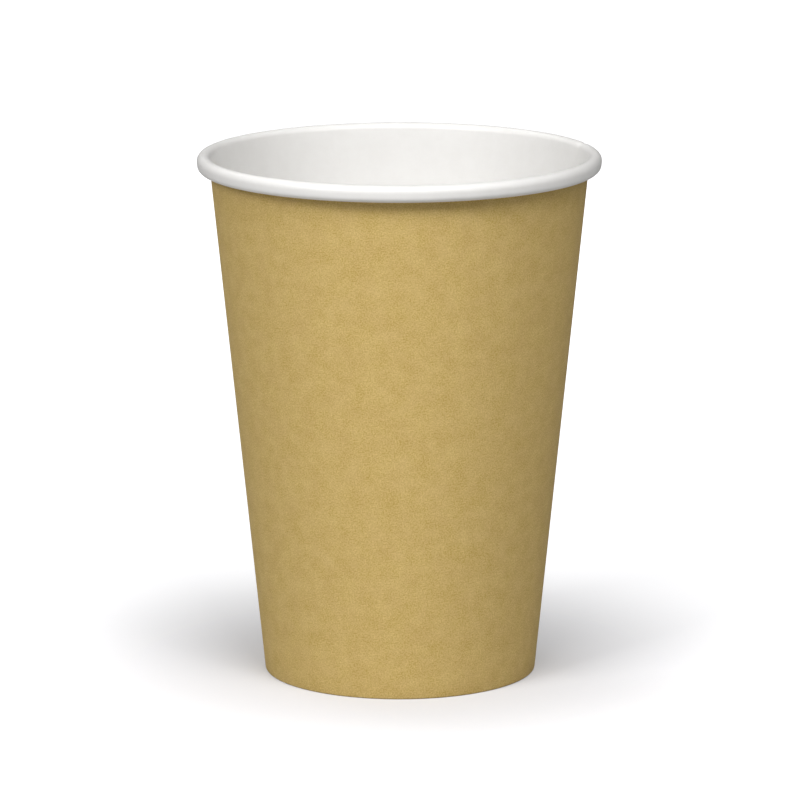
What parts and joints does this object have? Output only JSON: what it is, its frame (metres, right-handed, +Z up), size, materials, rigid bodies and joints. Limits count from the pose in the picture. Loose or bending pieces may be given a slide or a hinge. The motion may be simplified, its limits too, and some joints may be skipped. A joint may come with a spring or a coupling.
{
  "type": "paper coffee cup",
  "caption": "Open tapered paper cup for hot drinks, kraft brown outside and white inside, with a rolled rim, a lapped side seam and a recessed base.",
  "frame": {"origin": "middle of the ring that the cup stands on, at the surface below it", "axes": "+Z up the cup's axis and out of its mouth, with the side seam beside +X, towards +Y from it"},
  "size_m": [0.09, 0.09, 0.1174],
  "materials": {
    "kraft_board": "matte",
    "white_board": "satin"
  },
  "bodies": {
    "root": {"side_wall": "kraft_board", "base_disc": "white_board"}
  },
  "joints": []
}
